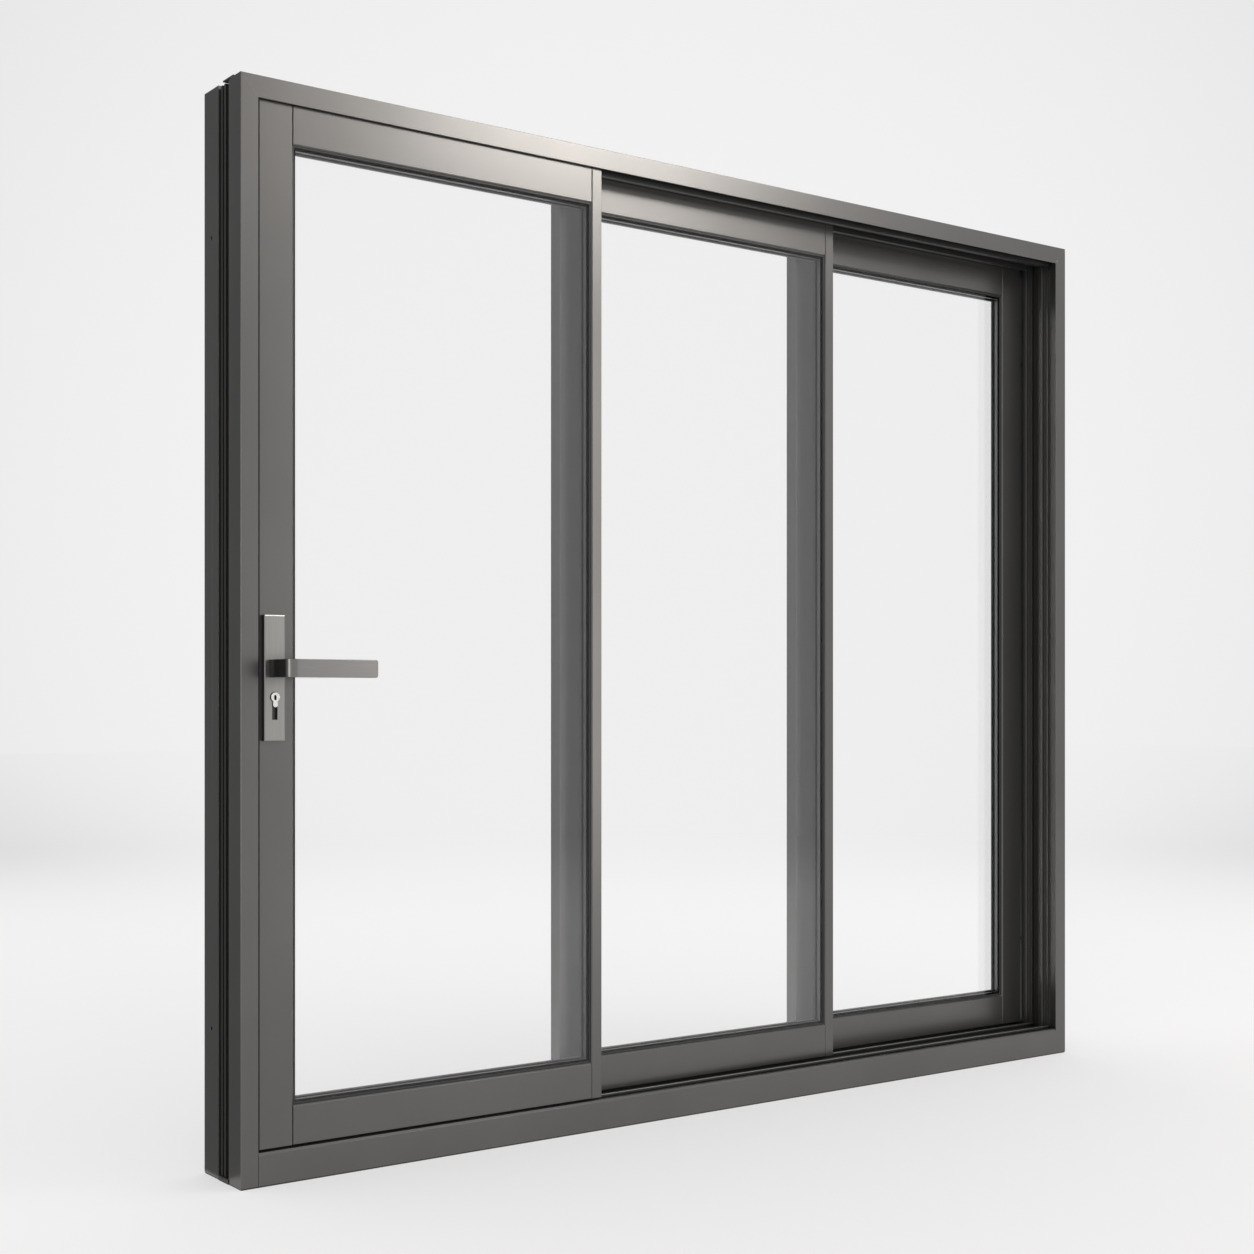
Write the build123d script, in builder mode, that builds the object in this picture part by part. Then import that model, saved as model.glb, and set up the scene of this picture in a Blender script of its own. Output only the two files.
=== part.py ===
import os

from build123d import *

# A three-track sliding door of thermally broken aluminium: an outer frame and three glazed sashes.
# Sizes are in millimetres, seen from the front, and depths run back from the frame's front plane.

# Outer frame, seen from the front
frame_width = 2430
frame_height = 2200
jamb_face = 38
head_face = 44
sill_face = 68

# Outer frame, in depth
front_flange = 3
track_channel = 46
track_partition = 11
rear_flange = 12
frame_wall = 2
edge_ease = 0.8
channel_groove_width = 22
jamb_ledge_depth = 10
jamb_channel_depth = 16
head_ledge_depth = 20
head_channel_depth = 30
shelf_thickness = 3
outer_rebate_width = 12
outer_rebate_depth = 1.5

# Thermal break between the front and rear shells, with ribs towards the wall
break_thickness = 4
break_rib_count = 2
break_rib_width = 8
break_rib_recess = 3
break_rib_offset = 6
break_rib_pitch = 15
sill_foot = 10

# The shadow gap under the frame's outer lower edges, and the joint between sill and jambs
foot_gap = 3
foot_rebate = 6
sill_joint_gap = 0.5

# Sill tracks
sill_channel_depth = 6
sill_groove_depth = 12
sill_ledge_bevel = 4
rail_height = 24
rail_stem = 3
rail_head = 7
rail_head_height = 5
rail_crown = 2
rail_base_width = 16
rail_base_thickness = 2

# Guide fins in the head, and the compressible tape between head and lintel
guide_fin = 5
guide_fin_drop = 36
guide_base_width = 20
guide_base_thickness = 3
tape_start = 36
tape_width = 48
tape_thickness = 3

# Screw holes through the rear shells of the jambs
fixing_hole_diameter = 8
fixing_from_ends = 300

# Sashes
sash_count = 3
sash_depth = 36
sash_overlap = 78
sash_wall = 2.2
running_gap = 5
head_cover = 10
stile_face = 74
meeting_stile_face = 27
top_rail_face = 88
bottom_rail_face = 79
front_lip = 4
lip_bevel = 2.5
glazing_rebate = 16
track_slot_width = 17
bottom_slot_depth = 30
top_slot_depth = 24
stile_joint_gap = 0.2
meeting_joint_gap = 1.2
meeting_fin_reach = 13
meeting_fin_thickness = 3

# Glazing
gasket_thickness = 3
front_gasket_show = 5
front_gasket_bevel = 2
rear_gasket_show = 11
gasket_bite = 6
pane_thickness = 5
pane_gap = 10
pane_edge_clearance = 4
spacer_width = 13
spacer_show = 9
bead_show = 13
bead_wall = 1.4
bead_end_gap = 0.3
bead_bevel = 2

# Rollers
wheel_diameter = 26
wheel_width = 6
wheel_clearance = 0.3
carriage_length = 90
carriage_clearance = 0.5
carriage_inset = 60
axle_diameter = 5
axle_cover = 7
wheel_side_gap = 1

# Handle set on the first sash
plate_width = 45
plate_height = 250
plate_thickness = 12
plate_bevel = 2.5
plate_from_sash_edge = 28
plate_centre_height = 1008.5
lever_above_plate_centre = 18.5
lever_height = 36
lever_neck_width = 25
lever_bar_thickness = 16
lever_reach = 90
lever_length = 183
lever_bend_radius = 19
lever_inner_radius = 8
lever_tip_radius = 5
lever_edge_bevel = 2
lever_clearance = 0.3
spindle_collar_diameter = 18
spindle_size = 8
spindle_depth = 16
spindle_clearance = 1
cylinder_below_lever = 56.5
cylinder_diameter = 19
cylinder_body_width = 9.5
cylinder_body_drop = 20
cylinder_proud = 3
cylinder_depth = 30
keyway_below_centre = 3
keyway_width = 4
keyway_height = 9
keyway_depth = 8
lock_opening_clearance = 1
lock_slot_drop = 45

# Sizes worked out from the ones above
track_pitch = track_channel + track_partition
shell_depth = front_flange + track_channel + track_partition
break_depth = track_channel
frame_depth = front_flange + 3 * track_channel + 2 * track_partition + rear_flange
front_y = -frame_depth / 2
left_x = -frame_width / 2
groove_margin = (track_channel - channel_groove_width) / 2
jamb_ledge = jamb_face - jamb_ledge_depth
jamb_floor = jamb_face - jamb_channel_depth
head_ledge = head_face - head_ledge_depth
head_floor = head_face - head_channel_depth
rear_shell_start = shell_depth + break_depth
sill_channel_floor = sill_face - sill_channel_depth
sill_groove_floor = sill_channel_floor - sill_groove_depth
rail_top = sill_groove_floor + rail_height
sash_inset = front_flange + (track_channel - sash_depth) / 2
sash_bottom = sill_face + running_gap
sash_top = frame_height - head_face + head_cover
sash_height = sash_top - sash_bottom
clear_span = frame_width - 2 * jamb_face - 2 * running_gap
sash_width = (clear_span + (sash_count - 1) * sash_overlap) / sash_count
sash_step = sash_width - sash_overlap
glass_unit = 2 * pane_thickness + pane_gap
rear_glass = front_lip + gasket_thickness + glass_unit
bead_start = rear_glass + gasket_thickness

os.makedirs("parts", exist_ok=True)


def save(piece, name):
    piece.part.label = name
    export_step(piece.part, "parts/" + name + ".step")


def section(plane, points, wall=0, eased=(), ease=edge_ease):
    # A profile drawn by its corners, hollow where a wall thickness is given, some corners taken off
    with BuildSketch(plane) as profile:
        with BuildLine():
            Polyline(*points, close=True)
        make_face()
        if eased:
            chamfer([profile.vertices().sort_by_distance(corner)[0] for corner in eased], ease)
        if wall:
            offset(amount=-wall, kind=Kind.INTERSECTION, mode=Mode.SUBTRACT)
    return profile.sketch


def mitre_plane(side):
    # Head and jamb meet on a line from the outer corner to the inner corner
    return Plane(
        origin=(side * left_x, 0, frame_height),
        x_dir=(0, 1, 0),
        z_dir=(side * head_face, 0, jamb_face),
    )


def mirrored(piece):
    with BuildPart() as other:
        mirror(piece.part, about=Plane.YZ)
    return other


def block(x_span, y_span, z_span):
    # A box between two limits on each axis
    size = [high - low for low, high in (x_span, y_span, z_span)]
    centre = [(low + high) / 2 for low, high in (x_span, y_span, z_span)]
    with BuildPart(Plane(centre)) as solid:
        Box(*size)
    return solid.part


# Frame profiles are drawn with x back from the front plane and y inwards from the outer face
def channel(start, ledge, floor):
    # The corners of one track's channel: a ledge each side of a deeper groove
    near = start + groove_margin
    far = near + channel_groove_width
    end = start + track_channel
    return [(start, ledge), (near, ledge), (near, floor), (far, floor), (far, ledge), (end, ledge)]


def front_shell(face, ledge, floor):
    # The first track's channel, a shelf out to the break's groove and a rebate towards the wall
    track_end = front_flange + track_channel
    shelf_end = shell_depth + groove_margin
    return [
        (0, 0),
        (0, face),
        (front_flange, face),
        *channel(front_flange, ledge, floor),
        (track_end, face),
        (shell_depth, face),
        (shell_depth, ledge),
        (shelf_end, ledge),
        (shelf_end, ledge - shelf_thickness),
        (shell_depth, ledge - shelf_thickness),
        (shell_depth, outer_rebate_depth),
        (shell_depth - outer_rebate_width, outer_rebate_depth),
        (shell_depth - outer_rebate_width, 0),
    ]


def thermal_break(floor):
    # A strip under the second track's channel, with ribs on the side towards the wall
    outside = floor - break_thickness
    outline = [(shell_depth, floor), (rear_shell_start, floor), (rear_shell_start, outside)]
    for rib in range(break_rib_count):
        rib_end = rear_shell_start - break_rib_offset - rib * break_rib_pitch
        rib_start = rib_end - break_rib_width
        outline += [
            (rib_end, outside),
            (rib_end, break_rib_recess),
            (rib_start, break_rib_recess),
            (rib_start, outside),
        ]
    return outline + [(shell_depth, outside)]


def rear_shell(face, ledge, floor):
    # The shelf that faces the front shell's, and the third track's channel
    shelf_end = rear_shell_start - groove_margin
    track_start = rear_shell_start + track_partition
    return [
        (rear_shell_start, 0),
        (rear_shell_start, ledge - shelf_thickness),
        (shelf_end, ledge - shelf_thickness),
        (shelf_end, ledge),
        (rear_shell_start, ledge),
        (rear_shell_start, face),
        (track_start, face),
        *channel(track_start, ledge, floor),
        (frame_depth - rear_flange, face),
        (frame_depth, face),
        (frame_depth, 0),
    ]


def open_edges(outline, face):
    # The corners that show: on the front and rear planes and on the inner face
    return [point for point in outline if point[0] in (0, frame_depth) or point[1] == face]


def channel_centre(track):
    return front_y + front_flange + track_channel / 2 + track * track_pitch


# Jambs
for name, outline, wall, foot in (
    ("front", front_shell(jamb_face, jamb_ledge, jamb_floor), frame_wall, foot_gap),
    ("break", thermal_break(jamb_floor), 0, sill_foot),
    ("rear", rear_shell(jamb_face, jamb_ledge, jamb_floor), frame_wall, foot_gap),
):
    plane = Plane(origin=(left_x, front_y, frame_height), x_dir=(0, 1, 0), z_dir=(0, 0, -1))
    profile = section(plane, outline, wall, open_edges(outline, jamb_face))
    with BuildPart() as jamb:
        extrude(profile, amount=frame_height - foot)
        split(bisect_by=mitre_plane(1), keep=Keep.BOTTOM)
        if name == "rear":
            for height in (fixing_from_ends, frame_height - fixing_from_ends):
                hole_start = (left_x + jamb_floor, channel_centre(sash_count - 1), height)
                with Locations(Plane(hole_start, z_dir=(1, 0, 0))):
                    Hole(fixing_hole_diameter / 2, depth=jamb_floor)
    save(jamb, "jamb_left_" + name)
    save(mirrored(jamb), "jamb_right_" + name)

# Head
for name, outline, wall in (
    ("head_front", front_shell(head_face, head_ledge, head_floor), frame_wall),
    ("head_break", thermal_break(head_floor), 0),
    ("head_rear", rear_shell(head_face, head_ledge, head_floor), frame_wall),
):
    plane = Plane(origin=(-left_x, front_y, frame_height), x_dir=(0, 1, 0), z_dir=(-1, 0, 0))
    profile = section(plane, outline, wall, open_edges(outline, head_face))
    with BuildPart() as head:
        extrude(profile, amount=frame_width)
        split(bisect_by=mitre_plane(1), keep=Keep.TOP)
        split(bisect_by=mitre_plane(-1), keep=Keep.TOP)
    save(head, name)

# Sill, its ends let into the jambs' channels
sill_length = frame_width - 2 * jamb_floor
sill_plane = Plane(origin=(-sill_length / 2, front_y, 0), x_dir=(0, 1, 0), z_dir=(1, 0, 0))
rear_track_start = rear_shell_start + track_partition
sill_front_outline = [
    (foot_rebate, 0),
    (foot_rebate, foot_gap),
    (0, foot_gap),
    (0, sill_face - sill_ledge_bevel),
    (sill_ledge_bevel, sill_face),
    (front_flange + groove_margin, sill_face),
    *channel(front_flange, sill_channel_floor, sill_groove_floor)[2:],
    (front_flange + track_channel, sill_face),
    (shell_depth, sill_face),
    (shell_depth, 0),
]
sill_break_outline = [
    (shell_depth, 0),
    *channel(shell_depth, sill_channel_floor, sill_groove_floor),
    (rear_shell_start, 0),
]
sill_rear_outline = [
    (rear_shell_start, 0),
    (rear_shell_start, sill_face),
    (rear_track_start, sill_face),
    *channel(rear_track_start, sill_channel_floor, sill_groove_floor),
    (frame_depth - rear_flange, sill_face),
    (frame_depth, sill_face),
    (frame_depth, foot_gap),
    (frame_depth - foot_rebate, foot_gap),
    (frame_depth - foot_rebate, 0),
]
sill_rear_edges = [point for point in sill_rear_outline if point[1] == sill_face]


def clear_jambs(reach, y_start, y_end):
    # Cuts the sill's ends around what stands in from the jambs over this depth
    for side in (-1, 1):
        ends = sorted((side * sill_length / 2, side * (frame_width / 2 - reach - sill_joint_gap)))
        notch = block(ends, (front_y + y_start, front_y + y_end), (0, sill_face))
        add(notch, mode=Mode.SUBTRACT)


def clear_ledges(track_start):
    # The jambs' ledges each side of one track's groove
    clear_jambs(jamb_ledge, track_start, track_start + groove_margin)
    clear_jambs(jamb_ledge, track_start + track_channel - groove_margin, track_start + track_channel)


with BuildPart() as sill_front:
    extrude(section(sill_plane, sill_front_outline, frame_wall), amount=sill_length)
    clear_jambs(jamb_face, 0, front_flange)
    clear_ledges(front_flange)
    clear_jambs(jamb_face, front_flange + track_channel, shell_depth)
save(sill_front, "sill_front")

with BuildPart() as sill_break:
    extrude(section(sill_plane, sill_break_outline, frame_wall), amount=sill_length)
    clear_ledges(shell_depth)
    for side in (-1, 1):
        foot_ends = sorted((side * sill_length / 2, side * frame_width / 2))
        add(block(foot_ends, (front_y + shell_depth, front_y + rear_shell_start), (0, sill_foot)))
save(sill_break, "sill_break")

with BuildPart() as sill_rear:
    profile = section(sill_plane, sill_rear_outline, frame_wall, sill_rear_edges)
    extrude(profile, amount=sill_length)
    clear_jambs(jamb_face, rear_shell_start, rear_track_start)
    clear_ledges(rear_track_start)
    clear_jambs(jamb_face, frame_depth - rear_flange, frame_depth)
save(sill_rear, "sill_rear")

# Running rails in the sill's grooves
track_length = frame_width - 2 * jamb_face
rail_outline = [
    (-rail_base_width / 2, 0),
    (rail_base_width / 2, 0),
    (rail_base_width / 2, rail_base_thickness),
    (rail_stem / 2, rail_base_thickness),
    (rail_stem / 2, rail_height - rail_head_height),
    (rail_head / 2, rail_height - rail_head_height),
    (rail_head / 2, rail_height),
    (-rail_head / 2, rail_height),
    (-rail_head / 2, rail_height - rail_head_height),
    (-rail_stem / 2, rail_height - rail_head_height),
    (-rail_stem / 2, rail_base_thickness),
    (-rail_base_width / 2, rail_base_thickness),
]
rail_crown_edges = [point for point in rail_outline if point[1] == rail_height]
with BuildPart() as sill_rails:
    for track in range(sash_count):
        rail_plane = Plane(
            origin=(-track_length / 2, channel_centre(track), sill_groove_floor),
            x_dir=(0, 1, 0),
            z_dir=(1, 0, 0),
        )
        profile = section(rail_plane, rail_outline, 0, rail_crown_edges, rail_crown)
        extrude(profile, amount=track_length)
save(sill_rails, "sill_rails")

# Guide fins hanging in the head's channels
guide_outline = [
    (-guide_base_width / 2, 0),
    (-guide_base_width / 2, -guide_base_thickness),
    (-guide_fin / 2, -guide_base_thickness),
    (-guide_fin / 2, -guide_fin_drop),
    (guide_fin / 2, -guide_fin_drop),
    (guide_fin / 2, -guide_base_thickness),
    (guide_base_width / 2, -guide_base_thickness),
    (guide_base_width / 2, 0),
]
with BuildPart() as head_guides:
    for track in range(sash_count):
        guide_plane = Plane(
            origin=(-track_length / 2, channel_centre(track), frame_height - head_floor),
            x_dir=(0, 1, 0),
            z_dir=(1, 0, 0),
        )
        extrude(section(guide_plane, guide_outline), amount=track_length)
save(head_guides, "head_guides")

# Sealing tape on top of the head
tape_span = (front_y + tape_start, front_y + tape_start + tape_width)
with BuildPart() as head_tape:
    add(block((left_x, -left_x), tape_span, (frame_height, frame_height + tape_thickness)))
save(head_tape, "head_tape")


# Sashes, each bar drawn across with x towards the glass and y back from the sash's front
def bar_plane(origin, towards_glass):
    return Plane(
        origin=origin,
        x_dir=towards_glass,
        z_dir=Vector(*towards_glass).cross(Vector(0, 1, 0)),
    )


bar_edges = [(0, 0), (0, sash_depth)]


def bar_outline(face):
    pocket = face - glazing_rebate
    return [
        (0, 0),
        (face - lip_bevel, 0),
        (face, lip_bevel),
        (face, front_lip),
        (pocket, front_lip),
        (pocket, sash_depth),
        (0, sash_depth),
    ]


def slotted_outline(face, slot_depth):
    # A rail's section with the slot for rollers or guide in its outer edge
    near = (sash_depth - track_slot_width) / 2
    far = (sash_depth + track_slot_width) / 2
    slot = [(0, far), (slot_depth, far), (slot_depth, near), (0, near)]
    return bar_outline(face) + slot


def bead_outline():
    depth = sash_depth - bead_start
    width = glazing_rebate + bead_show
    return [
        (0, 0),
        (width, 0),
        (width, depth - bead_bevel),
        (width - bead_bevel, depth),
        (0, depth),
    ]


def front_plane(x, y, z):
    # Drawn as seen from the front, its normal towards the viewer
    return Plane(origin=(x, y, z), x_dir=(1, 0, 0), z_dir=(0, -1, 0))


def ring(window, outer, inner, y_span):
    # A flat frame around the glass, its edges set outwards from the daylight opening
    x_low, x_high, z_low, z_high = window
    plane = front_plane((x_low + x_high) / 2, y_span[1], (z_low + z_high) / 2)
    with BuildSketch(plane) as outline:
        Rectangle(x_high - x_low + 2 * outer, z_high - z_low + 2 * outer)
        if inner is not None:
            Rectangle(x_high - x_low + 2 * inner, z_high - z_low + 2 * inner, mode=Mode.SUBTRACT)
    extrude(outline.sketch, amount=y_span[1] - y_span[0])


def cut_track_slots(x_span, y_sash):
    # Clears the running rail and the guide fin at a stile's two ends
    y_span = (
        y_sash + (sash_depth - track_slot_width) / 2,
        y_sash + (sash_depth + track_slot_width) / 2,
    )
    add(block(x_span, y_span, (sash_bottom, sash_bottom + bottom_slot_depth)), mode=Mode.SUBTRACT)
    add(block(x_span, y_span, (sash_top - top_slot_depth, sash_top)), mode=Mode.SUBTRACT)


def lock_outline(plane, clearance, drop):
    # A profile cylinder seen from the front: a round plug above a narrower body
    with BuildSketch(plane) as outline:
        Circle(cylinder_diameter / 2 + clearance)
        Rectangle(
            cylinder_body_width + 2 * clearance, drop, align=(Align.CENTER, Align.MAX)
        )
    return outline.sketch


# Handle set, placed on the first sash's left stile
first_sash_left = left_x + jamb_face + running_gap
first_sash_y = front_y + sash_inset
handle_x = first_sash_left + plate_from_sash_edge
plate_front_y = first_sash_y - plate_thickness
lever_axis_height = plate_centre_height + lever_above_plate_centre
cylinder_height = lever_axis_height - cylinder_below_lever
spindle_hole_radius = spindle_size * 0.5 * 2**0.5 + spindle_clearance

with BuildPart() as handle_plate:
    with BuildSketch(front_plane(handle_x, first_sash_y, plate_centre_height)):
        Rectangle(plate_width, plate_height)
    extrude(amount=plate_thickness)
    chamfer(handle_plate.faces().sort_by(Axis.Y)[0].edges(), plate_bevel)
    with BuildSketch(front_plane(handle_x, first_sash_y, lever_axis_height)):
        Circle(spindle_collar_diameter / 2 + lever_clearance)
    extrude(amount=plate_thickness, mode=Mode.SUBTRACT)
    opening = lock_outline(
        front_plane(handle_x, first_sash_y, cylinder_height),
        lock_opening_clearance,
        lock_slot_drop,
    )
    extrude(opening, amount=plate_thickness, mode=Mode.SUBTRACT)
save(handle_plate, "handle_plate")

lever_plane = Plane(
    origin=(handle_x, plate_front_y, lever_axis_height + lever_height / 2),
    x_dir=(1, 0, 0),
    z_dir=(0, 0, -1),
)
with BuildPart() as lever:
    with BuildSketch(lever_plane):
        with BuildLine():
            Polyline(
                (-lever_neck_width / 2, lever_clearance),
                (-lever_neck_width / 2, lever_reach),
                (lever_length, lever_reach),
                (lever_length, lever_reach - lever_bar_thickness),
                (lever_neck_width / 2, lever_reach - lever_bar_thickness),
                (lever_neck_width / 2, lever_clearance),
                close=True,
            )
        make_face()
    extrude(amount=lever_height)
    upright = lever.edges().filter_by(Axis.Z)
    outer_bend = upright.group_by(Axis.X)[0].sort_by(Axis.Y)[0]
    fillet(outer_bend, lever_bend_radius)
    upright = lever.edges().filter_by(Axis.Z)
    inner_bend = upright.filter_by_position(
        Axis.X, handle_x + lever_neck_width / 2 - 0.1, handle_x + lever_neck_width / 2 + 0.1
    ).sort_by(Axis.Y)[0]
    fillet(inner_bend, lever_inner_radius)
    fillet(lever.faces().sort_by(Axis.X)[-1].edges().filter_by(Axis.Y), lever_tip_radius)
    outline_edges = lever.faces().sort_by(Axis.Z)[-1].edges() + lever.faces().sort_by(Axis.Z)[0].edges()
    chamfer(outline_edges, lever_edge_bevel)
    with BuildSketch(front_plane(handle_x, first_sash_y - lever_clearance, lever_axis_height)):
        Circle(spindle_collar_diameter / 2)
    extrude(amount=plate_thickness + lever_reach - lever_bar_thickness)
    with BuildSketch(front_plane(handle_x, first_sash_y + spindle_depth, lever_axis_height)):
        Rectangle(spindle_size, spindle_size)
    extrude(amount=spindle_depth + plate_thickness)
save(lever, "lever")

with BuildPart() as lock_cylinder:
    body = lock_outline(
        front_plane(handle_x, first_sash_y + cylinder_depth, cylinder_height),
        0,
        cylinder_body_drop,
    )
    extrude(body, amount=cylinder_depth + plate_thickness + cylinder_proud)
    keyway_z = cylinder_height - keyway_below_centre
    with BuildSketch(front_plane(handle_x, plate_front_y - cylinder_proud, keyway_z)):
        SlotOverall(keyway_height, keyway_width, rotation=90)
    extrude(amount=-keyway_depth, mode=Mode.SUBTRACT)
save(lock_cylinder, "lock_cylinder")


def make_sash(name, track, right_face, right_joint_gap):
    left = first_sash_left + track * sash_step
    right = left + sash_width
    y_sash = first_sash_y + track * track_pitch
    prefix = name + "_sash_"
    window = (
        left + stile_face,
        right - right_face,
        sash_bottom + bottom_rail_face,
        sash_top - top_rail_face,
    )
    pocket = (
        window[0] - glazing_rebate,
        window[1] + glazing_rebate,
        window[2] - glazing_rebate,
        window[3] + glazing_rebate,
    )

    with BuildPart() as left_stile:
        plane = bar_plane((left, y_sash, sash_bottom), (1, 0, 0))
        profile = section(plane, bar_outline(stile_face), sash_wall, bar_edges)
        extrude(profile, amount=sash_height)
        cut_track_slots((left, left + stile_face), y_sash)
        if track == 0:
            with BuildSketch(front_plane(handle_x, y_sash, lever_axis_height)):
                Circle(spindle_hole_radius)
            extrude(amount=-sash_wall, mode=Mode.SUBTRACT)
            plane = front_plane(handle_x, y_sash, cylinder_height)
            extrude(lock_outline(plane, 0, cylinder_body_drop), amount=-sash_wall, mode=Mode.SUBTRACT)
    save(left_stile, prefix + "left_stile")

    with BuildPart() as right_stile:
        plane = bar_plane((right, y_sash, sash_top), (-1, 0, 0))
        profile = section(plane, bar_outline(right_face), sash_wall, bar_edges)
        extrude(profile, amount=sash_height)
        if track < sash_count - 1:
            fin_x = (right - meeting_fin_thickness, right)
            fin_y = (y_sash + sash_depth, y_sash + sash_depth + meeting_fin_reach)
            add(block(fin_x, fin_y, (sash_bottom, frame_height - head_face - running_gap)))
        cut_track_slots((right - right_face, right), y_sash)
    save(right_stile, prefix + "right_stile")

    rail_length = pocket[1] - pocket[0]
    lip_y = (y_sash, y_sash + front_lip)
    for part_name, origin, direction, face, slot, z_span in (
        (
            "bottom_rail",
            (pocket[1], y_sash, sash_bottom),
            (0, 0, 1),
            bottom_rail_face,
            bottom_slot_depth,
            (sash_bottom, window[2]),
        ),
        (
            "top_rail",
            (pocket[0], y_sash, sash_top),
            (0, 0, -1),
            top_rail_face,
            top_slot_depth,
            (window[3], sash_top),
        ),
    ):
        outline = slotted_outline(face, slot)
        profile = section(bar_plane(origin, direction), outline, sash_wall, bar_edges)
        left_joint = (pocket[0], window[0] + stile_joint_gap)
        right_joint = (window[1] - right_joint_gap, pocket[1])
        with BuildPart() as rail:
            extrude(profile, amount=rail_length)
            add(block(left_joint, lip_y, z_span), mode=Mode.SUBTRACT)
            add(block(right_joint, lip_y, z_span), mode=Mode.SUBTRACT)
        save(rail, prefix + part_name)

    y_bead = y_sash + bead_start
    bead_width = glazing_rebate + bead_show
    upright_length = pocket[3] - pocket[2]
    across_length = rail_length - 2 * bead_width - 2 * bead_end_gap
    across_start = pocket[0] + bead_width + bead_end_gap
    across_end = pocket[1] - bead_width - bead_end_gap
    with BuildPart() as beads:
        for origin, direction, length in (
            ((pocket[0], y_bead, pocket[2]), (1, 0, 0), upright_length),
            ((pocket[1], y_bead, pocket[3]), (-1, 0, 0), upright_length),
            ((across_end, y_bead, pocket[2]), (0, 0, 1), across_length),
            ((across_start, y_bead, pocket[3]), (0, 0, -1), across_length),
        ):
            extrude(section(bar_plane(origin, direction), bead_outline(), bead_wall), amount=length)
    save(beads, prefix + "beads")

    front_pane = y_sash + front_lip + gasket_thickness
    rear_pane = front_pane + pane_thickness + pane_gap
    glass_reach = glazing_rebate - pane_edge_clearance
    with BuildPart() as gaskets:
        ring(window, gasket_bite, -front_gasket_show, (y_sash + front_lip, front_pane))
        front_edges = gaskets.faces().sort_by(Axis.Y)[0].inner_wires()[0].edges()
        chamfer(front_edges, front_gasket_bevel)
        ring(window, gasket_bite, -rear_gasket_show, (y_sash + rear_glass, y_bead))
    save(gaskets, prefix + "gaskets")

    with BuildPart() as glass:
        ring(window, glass_reach, None, (front_pane, front_pane + pane_thickness))
        ring(window, glass_reach, None, (rear_pane, rear_pane + pane_thickness))
    save(glass, prefix + "glass")

    with BuildPart() as spacer:
        ring(window, spacer_width - spacer_show, -spacer_show, (front_pane + pane_thickness, rear_pane))
    save(spacer, prefix + "spacer")

    centre_y = channel_centre(track)
    axle_height = rail_top + wheel_clearance + wheel_diameter / 2
    housing_y = (
        centre_y - track_slot_width / 2 + carriage_clearance,
        centre_y + track_slot_width / 2 - carriage_clearance,
    )
    with BuildPart() as rollers:
        for centre_x in (pocket[0] + carriage_inset, pocket[1] - carriage_inset):
            housing_x = (centre_x - carriage_length / 2, centre_x + carriage_length / 2)
            add(block(housing_x, housing_y, (axle_height - axle_cover, sash_bottom + bottom_slot_depth)))
            wheel_plane = front_plane(centre_x, centre_y, axle_height)
            with BuildSketch(wheel_plane):
                Circle(wheel_diameter / 2 + wheel_side_gap)
            extrude(amount=wheel_width / 2 + wheel_side_gap, both=True, mode=Mode.SUBTRACT)
            with BuildSketch(wheel_plane):
                Circle(wheel_diameter / 2)
            extrude(amount=wheel_width / 2, both=True)
            with BuildSketch(wheel_plane):
                Circle(axle_diameter / 2)
            extrude(amount=track_slot_width / 2 - carriage_clearance, both=True)
    save(rollers, prefix + "rollers")


make_sash("front", 0, meeting_stile_face, meeting_joint_gap)
make_sash("middle", 1, meeting_stile_face, meeting_joint_gap)
make_sash("rear", 2, stile_face, stile_joint_gap)
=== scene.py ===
import math

import bmesh
import bpy
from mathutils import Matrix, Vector


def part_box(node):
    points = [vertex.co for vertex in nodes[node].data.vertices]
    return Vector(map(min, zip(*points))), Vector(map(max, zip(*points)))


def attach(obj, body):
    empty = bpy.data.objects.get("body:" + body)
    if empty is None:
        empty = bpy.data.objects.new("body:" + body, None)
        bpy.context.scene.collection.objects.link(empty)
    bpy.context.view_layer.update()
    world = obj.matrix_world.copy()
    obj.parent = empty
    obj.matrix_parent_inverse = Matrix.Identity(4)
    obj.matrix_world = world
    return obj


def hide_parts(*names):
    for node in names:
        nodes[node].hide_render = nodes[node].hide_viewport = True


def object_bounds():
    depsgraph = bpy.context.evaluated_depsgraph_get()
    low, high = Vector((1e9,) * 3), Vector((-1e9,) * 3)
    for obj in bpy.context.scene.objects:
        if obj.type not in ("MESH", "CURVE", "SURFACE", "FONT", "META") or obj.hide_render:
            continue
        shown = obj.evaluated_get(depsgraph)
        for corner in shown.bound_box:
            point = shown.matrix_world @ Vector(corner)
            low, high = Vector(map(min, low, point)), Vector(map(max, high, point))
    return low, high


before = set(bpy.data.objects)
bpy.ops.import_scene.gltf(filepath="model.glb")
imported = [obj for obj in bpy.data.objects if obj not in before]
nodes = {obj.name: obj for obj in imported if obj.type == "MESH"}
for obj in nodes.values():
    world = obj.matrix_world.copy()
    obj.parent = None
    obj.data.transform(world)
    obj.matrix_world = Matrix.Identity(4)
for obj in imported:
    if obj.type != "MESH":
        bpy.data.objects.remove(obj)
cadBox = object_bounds()
print("frame loaded with", len(nodes), "nodes")

mm = 0.001
near = 0.1 * mm              # a point this close to a place counts as being there
past = 5 * mm                # how far a cutter stands out of what it cuts

# Camera: a low view from the left, upright, raised by shift alone
cameraView = {
    "place": (-2.760, -3.473, 0.964),
    "turn": -36.29,          # degrees from looking straight back
    "focalLength": 53.26,
    "sensorWidth": 36,
    "shiftUp": 0.0585,
}


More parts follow.
